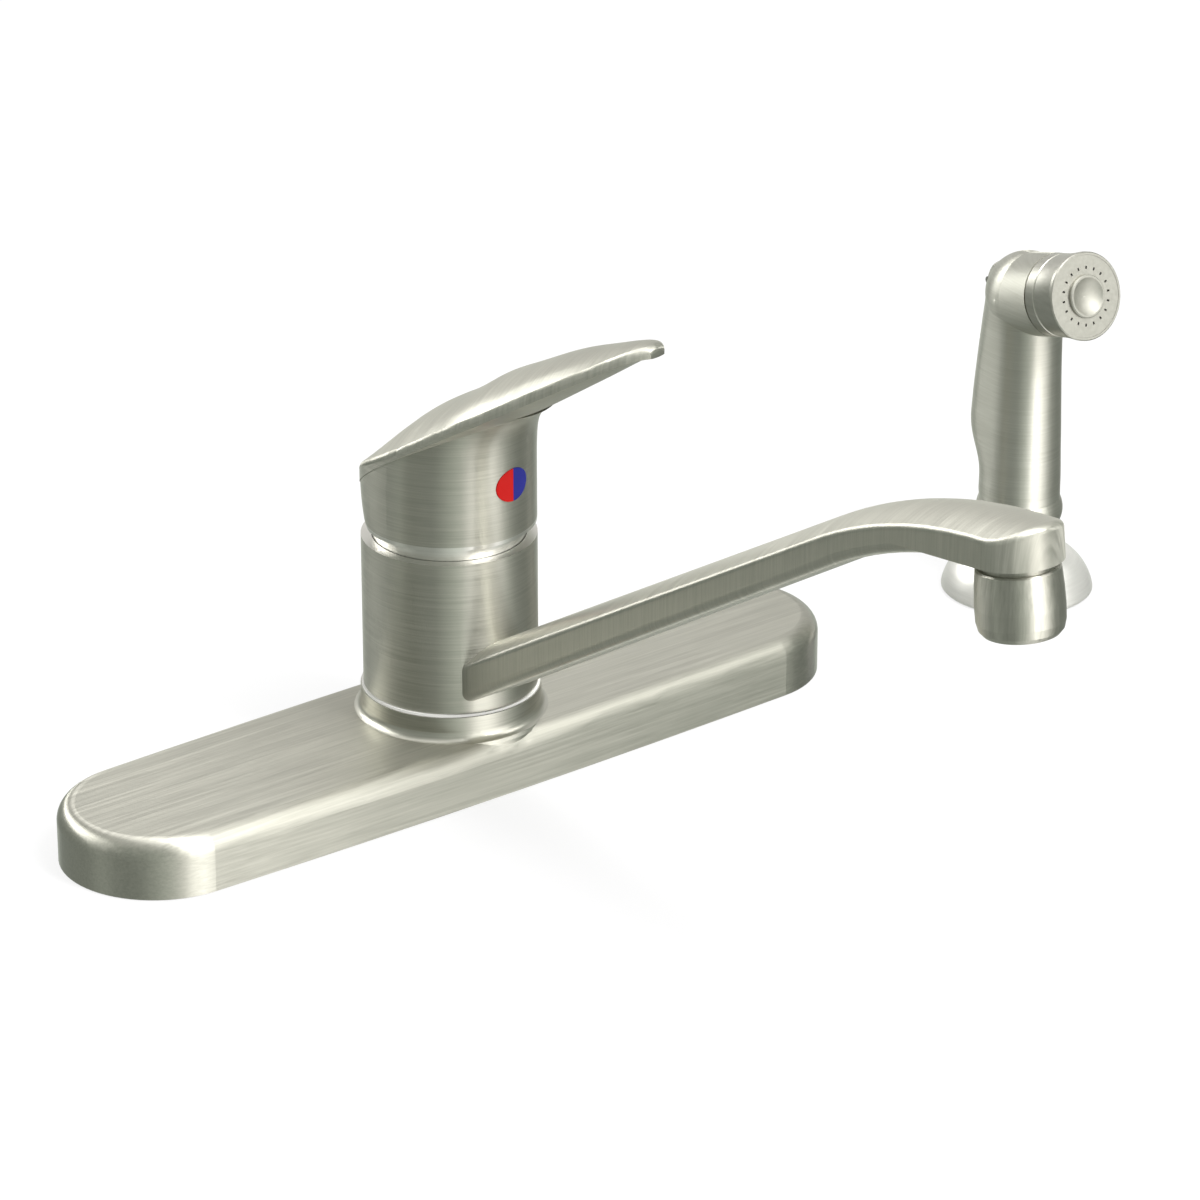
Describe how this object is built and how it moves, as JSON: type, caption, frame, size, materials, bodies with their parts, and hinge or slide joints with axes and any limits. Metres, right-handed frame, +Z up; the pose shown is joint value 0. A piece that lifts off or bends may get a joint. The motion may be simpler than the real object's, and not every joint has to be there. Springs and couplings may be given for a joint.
{
  "type": "kitchen faucet",
  "caption": "Single-lever kitchen faucet on an oval deck plate, with a low swivel spout and a side spray in its own holder.",
  "frame": {"origin": "middle of the deck plate's underside, on the valve body's axis, at the level of the sink deck", "axes": "+Z up from the deck, +X along the deck plate towards the side spray, spout to -Y at rest"},
  "size_m": [0.3513, 0.269, 0.2735],
  "materials": {
    "brushed_nickel": "brushed nickel plate over zinc and brass castings",
    "nickel_plastic": "nickel-coloured coating on moulded plastic",
    "brass": "plain machined",
    "copper": "plain drawn copper",
    "steel": "plain zinc plated",
    "rubber": "matte",
    "white_plastic": "matte moulded",
    "grey_plastic": "matte moulded",
    "red_plastic": "glossy moulded",
    "blue_plastic": "glossy moulded"
  },
  "bodies": {
    "root": {"deck_plate": "brushed_nickel", "deck_gasket": "rubber", "mounting_studs": "steel", "mounting_washers": "steel", "mounting_nuts": "white_plastic", "valve_body": "brass", "diverter": "white_plastic", "lower_seal": "rubber", "upper_seal": "rubber", "glide_ring": "white_plastic", "hot_supply_tube": "copper", "cold_supply_tube": "copper", "hot_supply_fitting": "brass", "cold_supply_fitting": "brass", "spray_outlet_nipple": "brass", "cartridge": "white_plastic", "cartridge_nut": "brass", "bonnet": "nickel_plastic", "spray_holder": "nickel_plastic", "holder_gasket": "rubber", "spray_guide": "grey_plastic", "guide_nut": "white_plastic"},
    "spout": {"spout": "brushed_nickel", "aerator_shell": "brushed_nickel", "aerator_insert": "grey_plastic", "aerator_washer": "rubber"},
    "mixer": {"stem_carrier": "grey_plastic", "pivot_pin": "steel"},
    "handle": {"lever_stem": "steel", "lever_handle": "brushed_nickel", "handle_screw": "steel", "hot_mark": "red_plastic", "cold_mark": "blue_plastic"},
    "wand": {"wand_body": "nickel_plastic", "hose_connector": "nickel_plastic", "head_ring": "nickel_plastic", "head_bezel": "nickel_plastic", "spray_face": "nickel_plastic", "spray_eye": "nickel_plastic", "trigger_pin": "steel"},
    "thumb_lever": {"spray_trigger": "nickel_plastic"},
    "spray_valve": {"valve_plunger": "brass"}
  },
  "joints": [
    {"name": "spout_swivel", "type": "hinge", "parent": "root", "child": "spout", "pos_m": [0, 0, 0.045], "axis": [0, 0, 1], "continuous": true},
    {"name": "lever_turn", "type": "hinge", "parent": "root", "child": "mixer", "pos_m": [0, 0, 0.06], "axis": [0, 0, 1], "range_deg": [-54, 36]},
    {"name": "lever_lift", "type": "hinge", "parent": "mixer", "child": "handle", "pos_m": [0, 0, 0.06], "axis": [-0.9877, -0.1564, 0], "range_deg": [0, 20]},
    {"name": "wand_lift", "type": "slide", "parent": "root", "child": "wand", "axis": [0, 0, 1], "range_m": [0, 0.06]},
    {"name": "thumb_press", "type": "hinge", "parent": "wand", "child": "thumb_lever", "pos_m": [0.20359, -0.00361, 0.097], "axis": [-0.9986, 0.0523, 0], "range_deg": [0, 4], "stiffness_Nm_per_rad": 0.3, "springref_deg": -17.19},
    {"name": "valve_push", "type": "slide", "parent": "wand", "child": "spray_valve", "axis": [-0.0523, -0.9986, 0], "range_m": [0, 0.0014]}
  ],
  "couplings": [
    {"joint": "valve_push", "follows": "thumb_press", "m_per_rad": 0.019}
  ]
}
